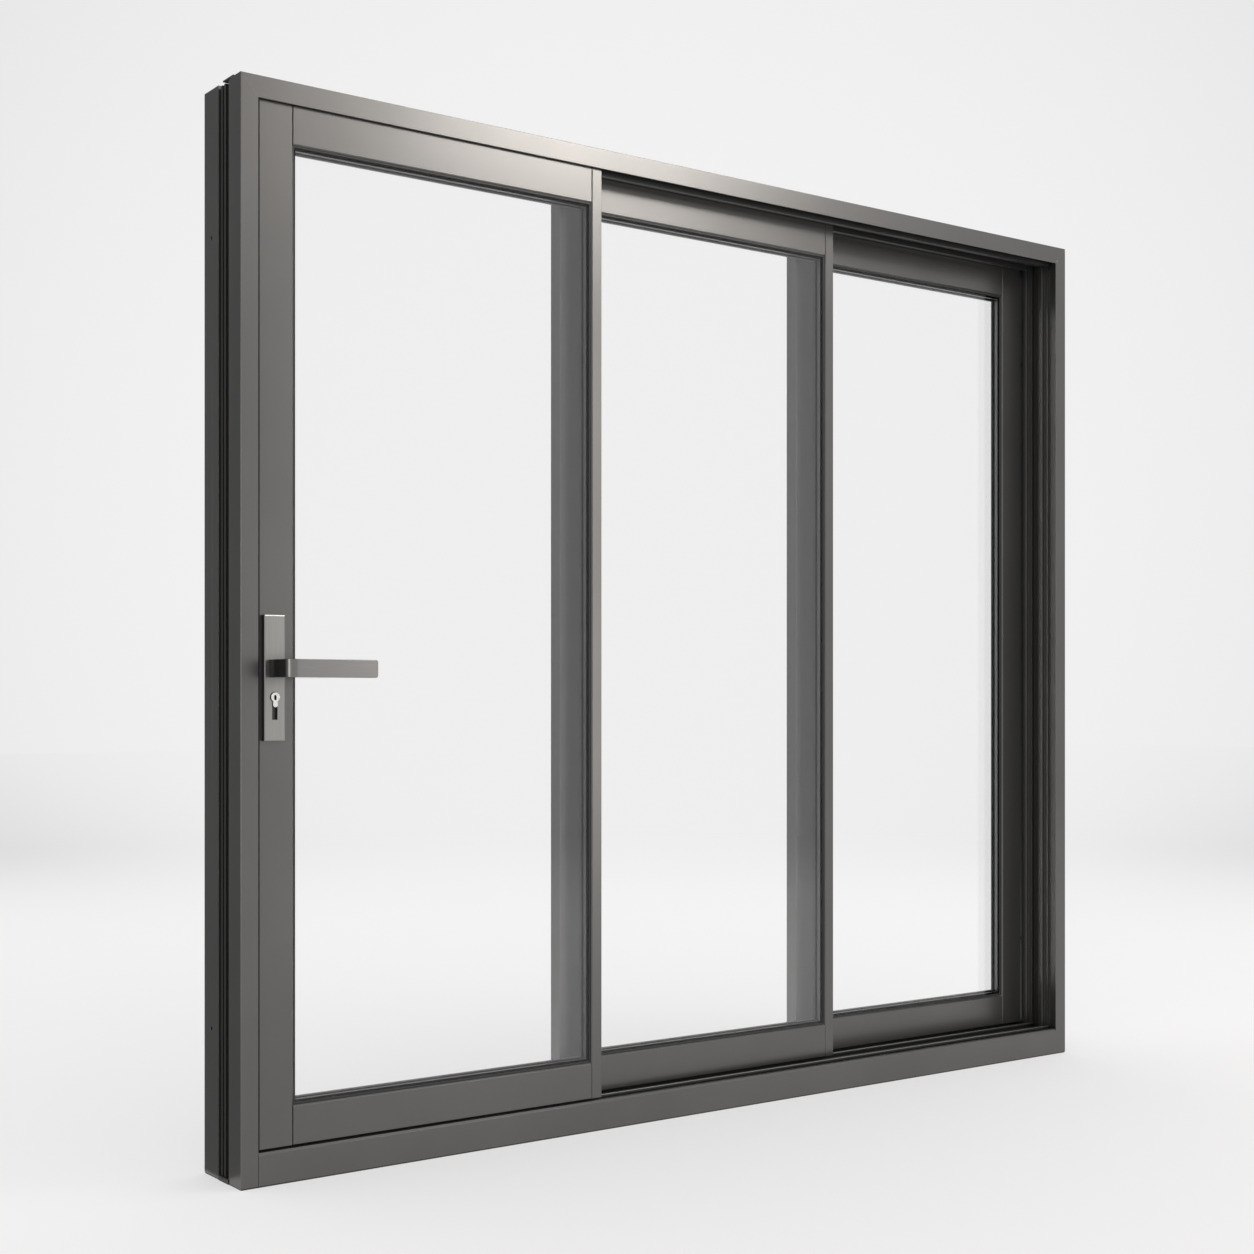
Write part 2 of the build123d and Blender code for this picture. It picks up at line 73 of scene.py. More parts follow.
def setCamera(view):
    camera = bpy.data.cameras.new("studioCamera")
    camera.lens = view["focalLength"]
    camera.sensor_width = view["sensorWidth"]
    camera.shift_y = view["shiftUp"]
    holder = bpy.data.objects.new("studioCamera", camera)
    holder.location = view["place"]
    holder.rotation_euler = (math.radians(90), 0, math.radians(view["turn"]))
    bpy.context.scene.collection.objects.link(holder)
    bpy.context.scene.camera = holder


setCamera(cameraView)
bpy.context.scene.view_settings.view_transform = "Standard"
print("camera set")


# Material tools
def hexColour(text):
    # an sRGB hex value turned to the linear values that shaders use
    parts = [int(text[i:i + 2], 16) / 255 for i in (1, 3, 5)]
    linear = [c / 12.92 if c <= 0.04045 else ((c + 0.055) / 1.055) ** 2.4 for c in parts]
    return (*linear, 1)


def addNode(tree, kind, inputs=None, **settings):
    # one node with its settings, and its sockets set or linked
    node = tree.nodes.new("ShaderNode" + kind)
    for name, value in settings.items():
        setattr(node, name, value)
    for name, value in (inputs or {}).items():
        if isinstance(value, bpy.types.NodeSocket):
            tree.links.new(value, node.inputs[name])
        else:
            node.inputs[name].default_value = value
    return node


def newMaterial(name):
    material = bpy.data.materials.new(name)
    material.use_nodes = True
    tree = material.node_tree
    tree.nodes.clear()
    output = addNode(tree, "OutputMaterial")
    shader = addNode(tree, "BsdfPrincipled")
    tree.links.new(shader.outputs[0], output.inputs["Surface"])
    return material, tree, shader


def tonesAndGloss(tree, shader, look, tonePattern, glossPattern):
    # a colour between the look's two close tones by one pattern, and roughness by another;
    # gives back the colour
    weakest, strongest = look["toneRange"]
    share = {"Value": tonePattern, "From Min": weakest, "From Max": strongest}
    tone = addNode(tree, "MapRange", share).outputs[0]
    tones = {0: tone, 6: hexColour(look["colour"]), 7: hexColour(look["paleColour"])}
    smoothest = look["roughness"] - look["roughnessSpread"] / 2
    spread = {"To Min": smoothest, "To Max": smoothest + look["roughnessSpread"]}
    gloss = addNode(tree, "MapRange", {"Value": glossPattern} | spread)
    tree.links.new(gloss.outputs[0], shader.inputs["Roughness"])
    return addNode(tree, "Mix", tones, data_type="RGBA").outputs[2]


def fineGrained(name, sizes, look):
    # one noise pattern, of the given millimetres along x, y and z, gives tone, gloss and relief
    material, tree, shader = newMaterial(name)
    place = addNode(tree, "TexCoord").outputs["Object"]
    scale = [1000 / size for size in sizes]
    stretched = addNode(tree, "Mapping", {"Vector": place, "Scale": scale}).outputs[0]
    noise = {"Vector": stretched, "Scale": 1.0, "Detail": look["detail"]}
    grain = addNode(tree, "TexNoise", noise).outputs[0]
    tree.links.new(tonesAndGloss(tree, shader, look, grain, grain), shader.inputs["Base Color"])
    bump = addNode(tree, "Bump", {"Height": grain, "Distance": look["height"] * mm})
    tree.links.new(bump.outputs[0], shader.inputs["Normal"])
    shader.inputs["Metallic"].default_value = look["metallic"]
    return material


def named(*endings):
    return [name for name in nodes if name.endswith(endings)]


def dress(names, material):
    for name in names:
        mesh = nodes[name].data
        mesh.materials.clear()
        mesh.materials.append(material)


# Satin anodised aluminium: etched before it was anodised, so it has a soft sheen and no gloss,
# and the die leaves faint lines along each bar
anodised = {
    "colour": "#636261",
    "paleColour": "#686766",
    "toneRange": (0.3, 0.7),
    "metallic": 0.85,
    "roughness": 0.29,
    "roughnessSpread": 0.03,
    "lineSpacing": 2.5,      # real die lines are about 0.3 apart, drawn coarser so that they show
    "lineLength": 900,
    "lineHeight": 0.004,
    "cloudSize": 260,
    "edgeRound": 0.35,
    "edgeHighlightColour": "#a09f9d", # painted highlight: the sharp corners of an extrusion drawn bright
    "highlightTurn": (0.995, 0.85),  # cosines of the turn at which the painted highlight starts and is full
}


def anodisedAluminium(name, lengthAxis, look=anodised):
    material, tree, shader = newMaterial(name)
    place = addNode(tree, "TexCoord").outputs["Object"]
    sizes = {axis: look["lineSpacing"] for axis in "xyz"} | {lengthAxis: look["lineLength"]}
    scale = [1000 / size for size in sizes.values()]
    stretched = addNode(tree, "Mapping", {"Vector": place, "Scale": scale}).outputs[0]
    lineNoise = {"Vector": stretched, "Scale": 1.0, "Detail": 2.0}
    lines = addNode(tree, "TexNoise", lineNoise).outputs[0]
    cloudNoise = {"Vector": place, "Scale": 1000 / look["cloudSize"], "Detail": 3.0}
    clouds = addNode(tree, "TexNoise", cloudNoise).outputs[0]
    faceColour = tonesAndGloss(tree, shader, look, clouds, lines)
    # painted highlight: where a rounded edge turns away from the face, the colour goes to the
    # bright edge colour
    edges = addNode(tree, "Bevel", {"Radius": look["edgeRound"] * mm}, samples=4).outputs[0]
    flat = addNode(tree, "NewGeometry").outputs["True Normal"]
    turned = addNode(tree, "VectorMath", {0: edges, 1: flat}, operation="DOT_PRODUCT")
    start, full = look["highlightTurn"]
    highlightSpan = {"Value": turned.outputs["Value"], "From Min": start, "From Max": full}
    paintedHighlight = addNode(tree, "MapRange", highlightSpan).outputs[0]
    colours = {0: paintedHighlight, 6: faceColour, 7: hexColour(look["edgeHighlightColour"])}
    colour = addNode(tree, "Mix", colours, data_type="RGBA")
    tree.links.new(colour.outputs[2], shader.inputs["Base Color"])
    relief = {"Height": lines, "Distance": look["lineHeight"] * mm, "Normal": edges}
    bump = addNode(tree, "Bump", relief)
    tree.links.new(bump.outputs[0], shader.inputs["Normal"])
    shader.inputs["Metallic"].default_value = look["metallic"]
    return material


uprights = ["jamb_left_front", "jamb_left_rear", "jamb_right_front", "jamb_right_rear"]
levels = ["head_front", "head_rear", "sill_front", "sill_rear"]
dress(uprights + named("_stile"), anodisedAluminium("anodisedUpright", "z"))
dress(levels + named("_rail", "_beads"), anodisedAluminium("anodisedLevel", "x"))

# Black plastics and rubbers: extruded or moulded, matt, each with the fine texture that its
# making leaves. The grain is in millimetres, pulled out along the axes that stretch names
blackGrain = {"detail": 2.0, "toneRange": (0.35, 0.65), "metallic": 0}
blackParts = {
    "glassFilledPolyamide": {
        "nodes": named("_break"),
        "colour": "#1b1b1a", "paleColour": "#262523", "grain": 0.9, "stretch": (6, 1, 6),
        "roughness": 0.45, "roughnessSpread": 0.15, "height": 0.05,
    },
    "extrudedGuideNylon": {
        "nodes": ["head_guides"],
        "colour": "#191919", "paleColour": "#222222", "grain": 1.2, "stretch": (60, 1, 1),
        "roughness": 0.38, "roughnessSpread": 0.1, "height": 0.03,
    },
    "glazingRubber": {
        "nodes": named("_gaskets"),
        "colour": "#141414", "paleColour": "#1f1f1e", "grain": 0.8, "stretch": (1, 1, 1),
        "roughness": 0.45, "roughnessSpread": 0.08, "height": 0.008,
    },
    "sealingFoam": {
        "nodes": ["head_tape"],
        "colour": "#1e1e1e", "paleColour": "#353433", "grain": 1.4, "stretch": (1, 1, 1),
        "roughness": 0.9, "roughnessSpread": 0.1, "height": 0.4,
    },
    "mouldedAcetal": {
        "nodes": named("_rollers"),
        "colour": "#2c2c2c", "paleColour": "#373737", "grain": 1.0, "stretch": (1, 1, 1),
        "roughness": 0.4, "roughnessSpread": 0.12, "height": 0.03,
    },
}


def blackPlastic(name, look):
    sizes = [look["grain"] * pull for pull in look["stretch"]]
    return fineGrained(name, sizes, blackGrain | look)


for name, look in blackParts.items():
    dress(look["nodes"], blackPlastic(name, look))

# Float glass: clear, with the very slight waves that rolling leaves in a toughened pane
floatGlass = {"colour": "#ffffff", "ior": 1.5, "waveLength": 320, "waveHeight": 0.05}


def clearGlass(look=floatGlass):
    material, tree, shader = newMaterial("floatGlass")
    place = addNode(tree, "TexCoord").outputs["Object"]
    noise = {"Vector": place, "Scale": 1000 / look["waveLength"], "Detail": 0.0}
    waves = addNode(tree, "TexNoise", noise).outputs[0]
    bump = addNode(tree, "Bump", {"Height": waves, "Distance": look["waveHeight"] * mm})
    tree.links.new(bump.outputs[0], shader.inputs["Normal"])
    shader.inputs["Base Color"].default_value = hexColour(look["colour"])
    shader.inputs["Transmission Weight"].default_value = 1
    shader.inputs["Roughness"].default_value = 0
    shader.inputs["IOR"].default_value = look["ior"]
    return material


dress(named("_glass"), clearGlass())

# Spacer bar between the panes: coated rolled aluminium with breathing holes for the desiccant
spacerBar = {
    "colour": "#8a8d8b",
    "holeColour": "#2c2c2c",
    "holeSpacing": 4.0,      # real holes are 2 apart and 0.3 wide, drawn coarser so that they show
    "holeSize": 0.9,
    "holeDepth": 0.2,
    "holeEdge": (0.8, 1.2),  # shares of the hole's radius between which its edge fades
    "metallic": 0.6,
    "roughness": 0.35,
}


def perforatedSpacer(look=spacerBar):
    material, tree, shader = newMaterial("perforatedSpacer")
    place = addNode(tree, "TexCoord").outputs["Object"]
    grid = {"Vector": place, "Scale": 1000 / look["holeSpacing"], "Randomness": 0.0}
    distance = addNode(tree, "TexVoronoi", grid).outputs["Distance"]
    start, end = [look["holeSize"] / 2 / look["holeSpacing"] * share for share in look["holeEdge"]]
    edge = {"Value": distance, "From Min": start, "From Max": end}
    solid = addNode(tree, "MapRange", edge).outputs[0]
    colours = {0: solid, 6: hexColour(look["holeColour"]), 7: hexColour(look["colour"])}
    colour = addNode(tree, "Mix", colours, data_type="RGBA")
    tree.links.new(colour.outputs[2], shader.inputs["Base Color"])
    bump = addNode(tree, "Bump", {"Height": solid, "Distance": look["holeDepth"] * mm})
    tree.links.new(bump.outputs[0], shader.inputs["Normal"])
    shader.inputs["Metallic"].default_value = look["metallic"]
    shader.inputs["Roughness"].default_value = look["roughness"]
    return material


dress(named("_spacer"), perforatedSpacer())

# Running rails: dark anodised aluminium, with crowns that the wheels keep bright
runningRail = {
    "colour": "#3a3a39",
    "wornColour": "#c9c8c4",
    "wornDepth": 0.6,        # from the crown down to where the rail is dark
    "brightDepth": 0.1,      # from the crown down to where it's fully bright
    "metallic": 0.9,
    "roughness": 0.42,
    "wornRoughness": 0.22,
    "lineSpacing": 1.2,      # real die lines are about 0.3 apart, drawn coarser so that they show
    "lineLength": 400,
    "lineHeight": 0.02,
}


def wornRail(look=runningRail):
    material, tree, shader = newMaterial("runningRail")
    place = addNode(tree, "TexCoord").outputs["Object"]
    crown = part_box("sill_rails")[1].z
    height = addNode(tree, "SeparateXYZ", {0: place}).outputs["Z"]
    dark, bright = crown - look["wornDepth"] * mm, crown - look["brightDepth"] * mm
    wear = {"Value": height, "From Min": dark, "From Max": bright}
    worn = addNode(tree, "MapRange", wear).outputs[0]
    colours = {0: worn, 6: hexColour(look["colour"]), 7: hexColour(look["wornColour"])}
    colour = addNode(tree, "Mix", colours, data_type="RGBA")
    tree.links.new(colour.outputs[2], shader.inputs["Base Color"])
    polish = {"Value": worn, "To Min": look["roughness"], "To Max": look["wornRoughness"]}
    gloss = addNode(tree, "MapRange", polish)
    tree.links.new(gloss.outputs[0], shader.inputs["Roughness"])
    scale = [1000 / look["lineLength"], 1000 / look["lineSpacing"], 1000 / look["lineSpacing"]]
    stretched = addNode(tree, "Mapping", {"Vector": place, "Scale": scale}).outputs[0]
    lines = addNode(tree, "TexNoise", {"Vector": stretched, "Scale": 1.0}).outputs[0]
    bump = addNode(tree, "Bump", {"Height": lines, "Distance": look["lineHeight"] * mm})
    tree.links.new(bump.outputs[0], shader.inputs["Normal"])
    shader.inputs["Metallic"].default_value = look["metallic"]
    return material


dress(["sill_rails"], wornRail())
print("materials given to the frame's nodes")


# Modelling tools
def pick(piece, kind, wanted):
    # in edit mode, selects the faces or edges that pass a test
    bpy.ops.mesh.select_mode(type=kind)
    bpy.ops.mesh.select_all(action="DESELECT")
    mesh = bmesh.from_edit_mesh(piece.data)
    for part in mesh.faces if kind == "FACE" else mesh.edges:
        if wanted(part):
            part.select_set(True)
    mesh.select_flush_mode()
    bmesh.update_edit_mesh(piece.data)


def allPoints(edge, test):
    # whether both ends of an edge pass a test on their place
    return all(test(vertex.co) for vertex in edge.verts)


def liesAlong(edge, axis):
    # whether an edge keeps its place on the two other axes
    start, end = (vertex.co for vertex in edge.verts)
    return all(abs(start[i] - end[i]) < near for i in range(3) if i != "xyz".index(axis))


def leaveEditing():
    # back to object mode with nothing selected
    if bpy.context.mode != "OBJECT":
        bpy.ops.object.mode_set(mode="OBJECT")
    bpy.ops.object.select_all(action="DESELECT")


def startShaping():
    # fixes the new primitive's size and place in its mesh, and opens it in edit mode
    bpy.ops.object.transform_apply(location=True, rotation=True, scale=True)
    bpy.ops.object.mode_set(mode="EDIT")
    return bpy.context.object


def startBlock(low, high):
    # a block between two corners
    leaveEditing()
    middle = [(a + b) / 2 for a, b in zip(low, high)]
    size = [b - a for a, b in zip(low, high)]
    bpy.ops.mesh.primitive_cube_add(size=1, location=middle, scale=size)
    return startShaping()


def startRound(centre, radius, start, end, sides=64):
    # a cylinder lying back from the front, between two depths
    leaveEditing()
    bpy.ops.mesh.primitive_cylinder_add(
        vertices=sides, radius=radius, depth=end - start,
        location=(centre[0], (start + end) / 2, centre[1]), rotation=(math.radians(90), 0, 0),
    )
    return startShaping()


def combine(piece, other, operation):
    # joins another solid to the piece or cuts it out of it, and uses it up
    leaveEditing()
    bpy.context.view_layer.objects.active = piece
    step = piece.modifiers.new("combine", "BOOLEAN")
    step.operation = operation
    step.object = other
    step.solver = "EXACT"
    bpy.ops.object.modifier_apply(modifier=step.name)
    bpy.data.objects.remove(other)
    bpy.ops.object.mode_set(mode="EDIT")


def finishPiece(piece, name, body, material, edgeRound, smoothBelow=40):
    # rounds the edges by some millimetres, smooths the curves and fixes the piece to its body
    leaveEditing()
    piece.select_set(True)
    bpy.context.view_layer.objects.active = piece
    rounding = piece.modifiers.new("rounding", "BEVEL")
    rounding.width = edgeRound * mm
    rounding.segments = 3
    rounding.limit_method = "ANGLE"
    rounding.angle_limit = math.radians(smoothBelow)
    bpy.ops.object.modifier_apply(modifier=rounding.name)
    bpy.ops.object.shade_smooth_by_angle(angle=math.radians(smoothBelow))
    # keeps the flat faces flat, with all the turning of the light in the rounded edges
    weighting = piece.modifiers.new("weighting", "WEIGHTED_NORMAL")
    weighting.keep_sharp = True
    weighting.weight = 100
    bpy.ops.object.modifier_apply(modifier=weighting.name)
    piece.name = name
    piece.data.name = name
    piece.data.materials.clear()
    piece.data.materials.append(material)
    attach(piece, body)


# Satin aluminium of the handle: brushed one way along each part, then anodised clear
satinHandle = {
    "colour": "#7a7978",
    "paleColour": "#838281",
    "toneRange": (0.3, 0.7),
    "metallic": 0.95,
    "roughness": 0.30,
    "roughnessSpread": 0.05,
    "brushSpacing": 0.8,     # real lines are about 0.1 apart, drawn coarser so that they show
    "brushLength": 60,
    "detail": 3.0,
    "height": 0.004,
}


def brushedAluminium(name, lengthAxis, look=satinHandle):
    sizes = {axis: look["brushSpacing"] for axis in "xyz"} | {lengthAxis: look["brushLength"]}
    return fineGrained(name, sizes.values(), look)


# Painted shade: the upright sides of the plate and the neck are drawn almost black,
# not brushed
shadedSidePaint = {"colour": "#3c3c3b", "paleColour": "#444443"}


def paintSidesShaded(piece, behind):
    name = "shadedSidePaint"
    look = satinHandle | shadedSidePaint
    material = bpy.data.materials.get(name) or brushedAluminium(name, "y", look)
    piece.data.materials.append(material)
    # the upright faces get the painted shade
    for face in piece.data.polygons:
        if abs(face.normal.x) > 0.95 and face.center.y > behind:
            face.material_index = 1


# Lever: a flat bar, bent square from a short neck, with a softly rounded end
lever = {
    "neckWidth": 25,
    "barThickness": 16,
    "plateGap": 0.3,
    "outerBend": 19,
    "innerBend": 8,
    "endRound": 5,
    "edgeRound": 1.2,
    "collarDiameter": 18,
    "collarLap": 5,          # how far the collar runs into the neck
    "spindleSize": 8,
}


def makeLever(look=lever):
    low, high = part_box("lever")
    plateLow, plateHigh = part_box("handle_plate")
    neckRight = low.x + look["neckWidth"] * mm
    barBack = low.y + look["barThickness"] * mm
    neckStart = plateLow.y - look["plateGap"] * mm
    piece = startBlock((low.x, low.y, low.z), (neckRight, neckStart, high.z))
    bpy.ops.mesh.select_all(action="SELECT")
    bpy.ops.mesh.bisect(plane_co=(0, barBack, 0), plane_no=(0, 1, 0))
    pick(piece, "FACE", lambda face: face.normal.x > 0.9 and face.calc_center_median().y < barBack)
    barLength = high.x - neckRight
    bpy.ops.mesh.extrude_region_move(TRANSFORM_OT_translate={"value": (barLength, 0, 0)})

    def standsAt(edge, x, y):
        return allPoints(edge, lambda place: abs(place.x - x) < near and abs(place.y - y) < near)

    pick(piece, "EDGE", lambda edge: standsAt(edge, low.x, low.y))
    bpy.ops.mesh.bevel(offset=look["outerBend"] * mm, segments=14, affect="EDGES")
    pick(piece, "EDGE", lambda edge: standsAt(edge, neckRight, barBack))
    bpy.ops.mesh.bevel(offset=look["innerBend"] * mm, segments=8, affect="EDGES")
    pick(piece, "EDGE", lambda edge: allPoints(edge, lambda place: place.x > high.x - near)
         and liesAlong(edge, "y"))
    bpy.ops.mesh.bevel(offset=look["endRound"] * mm, segments=6, affect="EDGES")

    axis = (low.x + look["neckWidth"] / 2 * mm, (low.z + high.z) / 2)
    spindleHalf = look["spindleSize"] / 2 * mm
    spindle = startBlock(
        (axis[0] - spindleHalf, neckStart, axis[1] - spindleHalf),
        (axis[0] + spindleHalf, high.y, axis[1] + spindleHalf),
    )
    collarRadius = look["collarDiameter"] / 2 * mm
    collarStart = neckStart - look["collarLap"] * mm
    collar = startRound(axis, collarRadius, collarStart, plateHigh.y, sides=48)
    combine(piece, collar, "UNION")
    combine(piece, spindle, "UNION")
    material = brushedAluminium("brushedLever", "x")
    finishPiece(piece, "leverHandle", "lever", material, look["edgeRound"])
    paintSidesShaded(piece, barBack)
    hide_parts("lever")
    print("lever made")


makeLever()

# Handle plate: a long flat plate with a sloped border, cut for the lever's collar and the lock
handlePlate = {
    "colours": {"colour": "#8c8b89", "paleColour": "#959492"},
    "borderWidth": 2.2,
    "borderDepth": 0.8,
    "collarHole": 18.6,
    "lockHole": 21,
    "lockSlotWidth": 11.5,
    "lockSlotDrop": 45,
    "cylinderBelowLever": 56.5,
    "edgeRound": 0.5,
}


def makeHandlePlate(look=handlePlate):
    low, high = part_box("handle_plate")
    leverLow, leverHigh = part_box("lever")
    middle = (low.x + high.x) / 2
    leverHeight = (leverLow.z + leverHigh.z) / 2
    lockHeight = leverHeight - look["cylinderBelowLever"] * mm
    piece = startBlock((low.x, low.y + look["borderDepth"] * mm, low.z), tuple(high))
    pick(piece, "FACE", lambda face: face.normal.y < -0.9)
    bpy.ops.mesh.inset(thickness=look["borderWidth"] * mm, depth=look["borderDepth"] * mm)
    start, end = low.y - past, high.y + past
    slotHalf = look["lockSlotWidth"] / 2 * mm
    slotFoot = lockHeight - look["lockSlotDrop"] * mm
    for cutter in (
        startRound((middle, leverHeight), look["collarHole"] / 2 * mm, start, end),
        startRound((middle, lockHeight), look["lockHole"] / 2 * mm, start, end),
        startBlock((middle - slotHalf, start, slotFoot), (middle + slotHalf, end, lockHeight)),
    ):
        combine(piece, cutter, "DIFFERENCE")
    material = brushedAluminium("brushedPlate", "z", satinHandle | look["colours"])
    finishPiece(piece, "leverPlate", "front_sash", material, look["edgeRound"], smoothBelow=15)
    paintSidesShaded(piece, low.y)
    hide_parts("handle_plate")
    print("handle plate made")


makeHandlePlate()

# Satin nickel: turned on a lathe and plated, so its face carries faint rings
satinNickel = {
    "colour": "#faf8f4",
    "roughness": 0.16,
    "roughnessSpread": 0.08,
    "ringSpacing": 5.655,    # real turning marks are about 0.1 apart, drawn as soft broad rings
    "ringWaver": 0.4,
    "ringHeight": 0.006,
}


def turnedNickel(axis, look=satinNickel):
    material, tree, shader = newMaterial("satinNickel")
    place = addNode(tree, "TexCoord").outputs["Object"]
    centre = (-axis[0], 0, -axis[1])
    centred = addNode(tree, "Mapping", {"Vector": place, "Location": centre}).outputs[0]
    # a wave texture has 20 radians to a unit
    scale = 2 * math.pi / 20 * 1000 / look["ringSpacing"]
    wave = {"Vector": centred, "Scale": scale, "Distortion": look["ringWaver"]}
    rings = addNode(tree, "TexWave", wave, wave_type="RINGS", rings_direction="Y").outputs[1]
    smoothest = look["roughness"] - look["roughnessSpread"] / 2
    spread = {"To Min": smoothest, "To Max": smoothest + look["roughnessSpread"]}
    gloss = addNode(tree, "MapRange", {"Value": rings} | spread)
    tree.links.new(gloss.outputs[0], shader.inputs["Roughness"])
    bump = addNode(tree, "Bump", {"Height": rings, "Distance": look["ringHeight"] * mm})
    tree.links.new(bump.outputs[0], shader.inputs["Normal"])
    shader.inputs["Base Color"].default_value = hexColour(look["colour"])
    shader.inputs["Metallic"].default_value = 1
    return material


# Lock cylinder: a round front with a separate plug set in it, above a narrow foot
lockCylinder = {
    "solidDiameter": 19,     # the CAD solid's
    "diameter": 18.4,        # a little smaller, for a dark gap round it
    "footWidth": 9.5,
    "footRound": 4.2,
    "footBelowPlug": 0.5,
    "plugDiameter": 15,
    "plugGap": 0.35,
    "plugGapDepth": 1.2,
    "plugGapWall": 0.05,
    "plugRecess": 0.5,
    "keywayWidth": 5,
    "keywayHeight": 10,
    "keywayRound": 2.2,
    "keywayBelowCentre": 1,
    "keywayDepth": 8,
    "cutterStart": 1,        # how far in front of the face the keyway's cutter starts
    # painted shade: the keyway's inside beyond this depth is drawn near-black
    "paintedShadeDepth": 0.8,
    "inside": {"colour": "#0d0c0b", "paleColour": "#191713", "roughness": 0.6, "height": 0.02},
    "edgeRound": 0.4,
}


def makeLockCylinder(look=lockCylinder):
    low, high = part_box("lock_cylinder")
    radius, plugRadius = look["diameter"] / 2 * mm, look["plugDiameter"] / 2 * mm
    axis = ((low.x + high.x) / 2, high.z - look["solidDiameter"] / 2 * mm)
    piece = startRound(axis, radius, low.y, high.y, sides=72)
    pick(piece, "FACE", lambda face: face.normal.y < -0.9)
    wall, depth = look["plugGapWall"] * mm, look["plugGapDepth"] * mm
    bpy.ops.mesh.inset(thickness=radius - plugRadius)
    bpy.ops.mesh.inset(thickness=wall, depth=-depth)
    bpy.ops.mesh.inset(thickness=look["plugGap"] * mm)
    bpy.ops.mesh.inset(thickness=wall, depth=depth - look["plugRecess"] * mm)
    half = look["footWidth"] / 2 * mm
    footTop = axis[1] - plugRadius - look["footBelowPlug"] * mm
    foot = startBlock((axis[0] - half, low.y, low.z), (axis[0] + half, high.y, footTop))
    pick(foot, "EDGE", lambda edge: allPoints(edge, lambda place: place.z < low.z + near)
         and liesAlong(edge, "y"))
    bpy.ops.mesh.bevel(offset=look["footRound"] * mm, segments=8, affect="EDGES")
    combine(piece, foot, "UNION")
    keyZ = axis[1] - look["keywayBelowCentre"] * mm
    keyHalf = (look["keywayWidth"] / 2 * mm, look["keywayHeight"] / 2 * mm)
    keyEnd = low.y + look["keywayDepth"] * mm
    keyway = startBlock(
        (axis[0] - keyHalf[0], low.y - look["cutterStart"] * mm, keyZ - keyHalf[1]),
        (axis[0] + keyHalf[0], keyEnd, keyZ + keyHalf[1]),
    )
    pick(keyway, "EDGE", lambda edge: liesAlong(edge, "y"))
    bpy.ops.mesh.bevel(offset=look["keywayRound"] * mm, segments=5, affect="EDGES")
    combine(piece, keyway, "DIFFERENCE")
    material = turnedNickel(axis)
    finishPiece(piece, "lockCylinder", "front_sash", material, look["edgeRound"], smoothBelow=30)
    # painted shade: the keyway's inside is drawn near-black
    inside = blackPlastic("keywayPaintedShade", blackParts["mouldedAcetal"] | look["inside"])
    piece.data.materials.append(inside)
    reach = [half * 1.02 for half in keyHalf]
    for face in piece.data.polygons:
        across, up = abs(face.center.x - axis[0]), abs(face.center.z - keyZ)
        deep = face.center.y > low.y + look["paintedShadeDepth"] * mm
        if deep and across < reach[0] and up < reach[1]:
            face.material_index = 1
    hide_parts("lock_cylinder")
    print("lock cylinder made")


makeLockCylinder()

# Liner behind the plate's lock opening: a moulded block, dished below the cylinder and bored
# round it, black as painted shade for the dark slot
slotShadeLiner = {
    "bore": 19.4,
    "footBore": 9.9,
    "footGap": 0.2,
    "sideGap": 0.1,
    "frontDepth": 4,
    "rim": 1.2,
    "dishSlope": 0.8,
    "dish": 1.5,
    "edgeRound": 0.1,
}


def makeSlotShadeLiner(look=slotShadeLiner):
    plateLow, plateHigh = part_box("handle_plate")
    lockLow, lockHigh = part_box("lock_cylinder")
    axis = ((lockLow.x + lockHigh.x) / 2, lockHigh.z - lockCylinder["solidDiameter"] / 2 * mm)
    half = (handlePlate["lockSlotWidth"] / 2 - look["sideGap"]) * mm
    ringRadius = (handlePlate["lockHole"] / 2 - look["sideGap"]) * mm
    slotEnd = axis[1] - (handlePlate["lockSlotDrop"] - look["sideGap"]) * mm
    front, back = plateLow.y + look["frontDepth"] * mm, plateHigh.y
    piece = startBlock((axis[0] - half, front, slotEnd), (axis[0] + half, back, axis[1]))
    pick(piece, "FACE", lambda face: face.normal.y < -0.9)
    bpy.ops.mesh.inset(thickness=look["rim"] * mm)
    bpy.ops.mesh.inset(thickness=look["dishSlope"] * mm, depth=-look["dish"] * mm)
    combine(piece, startRound(axis, ringRadius, front, back), "UNION")
    footHalf = look["footBore"] / 2 * mm
    footLow = lockLow.z - look["footGap"] * mm
    start, end = front - past, back + past
    for cutter in (
        startRound(axis, look["bore"] / 2 * mm, start, end),
        startBlock((axis[0] - footHalf, start, footLow), (axis[0] + footHalf, end, axis[1])),
    ):
        combine(piece, cutter, "DIFFERENCE")
    # painted shade: black, for the dark slot
    material = bpy.data.materials["extrudedGuideNylon"]
    finishPiece(piece, "lockSlotShadeLiner", "front_sash", material, look["edgeRound"])
    print("slot liner made")


makeSlotShadeLiner()

# Pile seals: a woven strip slid into the head's partitions, its pile brushing towards the sash
# behind
pileSeal = {
    "pile": {"colour": "#121212", "paleColour": "#2a2a29", "grain": 0.7},
    "aboveEdge": 3,
    "height": 6,
    "sashGap": 5,            # from the front of the strip to the sash
    "reach": 4.5,            # leaves 0.5 to the sash, so that the sash slides clear
    "strip": 1.2,
    "stripRim": 0.8,
    "pileTip": 2.2,
    "endGap": 1,
    "edgeRound": 0.2,
}


